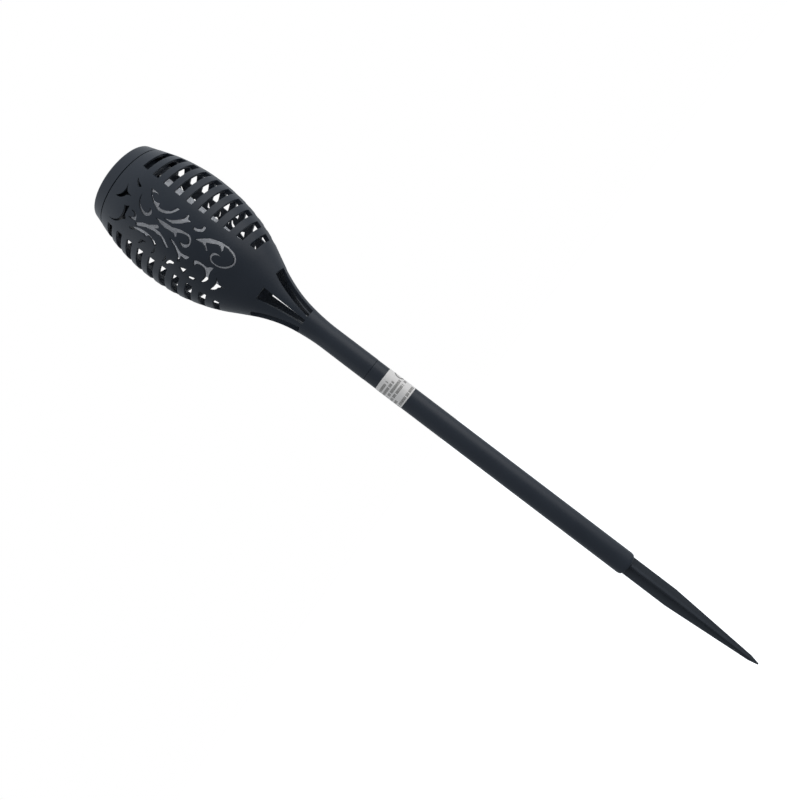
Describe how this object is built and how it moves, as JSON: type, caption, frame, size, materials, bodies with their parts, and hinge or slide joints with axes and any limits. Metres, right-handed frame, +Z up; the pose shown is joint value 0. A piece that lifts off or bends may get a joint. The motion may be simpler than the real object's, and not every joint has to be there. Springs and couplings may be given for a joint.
{
  "type": "solar tiki torch",
  "caption": "Garden torch with a slotted, scroll-cut lantern head, lift-out solar lamp, tube pole and four-finned ground stake.",
  "frame": {"origin": "centre of the pole's lower end, on the torch's axis, where the stake's fins meet the pole: the soil line", "axes": "+Z up the torch's axis towards the solar cap; the scroll-cut panels face -Y and +Y; the head's parting line is in the plane Y = 0"},
  "size_m": [0.0776, 0.0778, 0.5168],
  "materials": {
    "charcoal_plastic": "satin moulded",
    "housing_plastic": "satin",
    "frosted_plastic": "frosted translucent",
    "solar_laminate": "glossy resin over cells",
    "foam_pad": "foam",
    "seal_rubber": "matte",
    "label_paper": "coated paper",
    "plated_steel": "plated",
    "cell_wrap": "shrink wrap",
    "circuit_board": "solder mask",
    "component_black": "moulded",
    "led_amber": "clear dome",
    "knob_plastic": "moulded",
    "wire_red": "insulation",
    "wire_black": "insulation"
  },
  "bodies": {
    "stake": {"ground_stake": "charcoal_plastic"},
    "pole": {"pole_tube": "charcoal_plastic", "pole_label": "label_paper"},
    "head": {"head_shell_front": "charcoal_plastic", "head_shell_rear": "charcoal_plastic"},
    "seal": {"seal_ring": "seal_rubber"},
    "lamp": {"cap": "charcoal_plastic", "solar_panel": "solar_laminate", "panel_pad": "foam_pad", "lamp_housing": "housing_plastic", "diffuser": "frosted_plastic", "battery": "cell_wrap", "contact_plate": "plated_steel", "contact_spring": "plated_steel", "control_board": "circuit_board", "control_chip": "component_black", "inductor": "component_black", "switch_body": "component_black", "led_board": "circuit_board", "led_01": "led_amber", "led_02": "led_amber", "led_03": "led_amber", "led_04": "led_amber", "led_05": "led_amber", "led_06": "led_amber", "led_07": "led_amber", "led_08": "led_amber", "led_09": "led_amber", "led_10": "led_amber", "led_11": "led_amber", "led_12": "led_amber", "screw_1": "plated_steel", "screw_2": "plated_steel", "screw_3": "plated_steel", "panel_wire_red": "wire_red", "panel_wire_black": "wire_black", "led_wire_red": "wire_red", "led_wire_black": "wire_black"},
    "switch": {"switch_knob": "knob_plastic"}
  },
  "joints": [
    {"name": "pole_pull", "type": "slide", "parent": "stake", "child": "pole", "axis": [0, 0, 1], "range_m": [0, 0.03]},
    {"name": "head_pull", "type": "slide", "parent": "pole", "child": "head", "axis": [0, 0, 1], "range_m": [0, 0.03]},
    {"name": "lamp_turn", "type": "hinge", "parent": "head", "child": "seal", "pos_m": [0, 0, 0.4017], "axis": [0, 0, 1], "range_deg": [0, 30]},
    {"name": "lamp_lift", "type": "slide", "parent": "seal", "child": "lamp", "axis": [0, 0, 1], "range_m": [0, 0.095]},
    {"name": "switch_slide", "type": "slide", "parent": "lamp", "child": "switch", "axis": [1, 0, 0], "range_m": [0, 0.0024]}
  ]
}
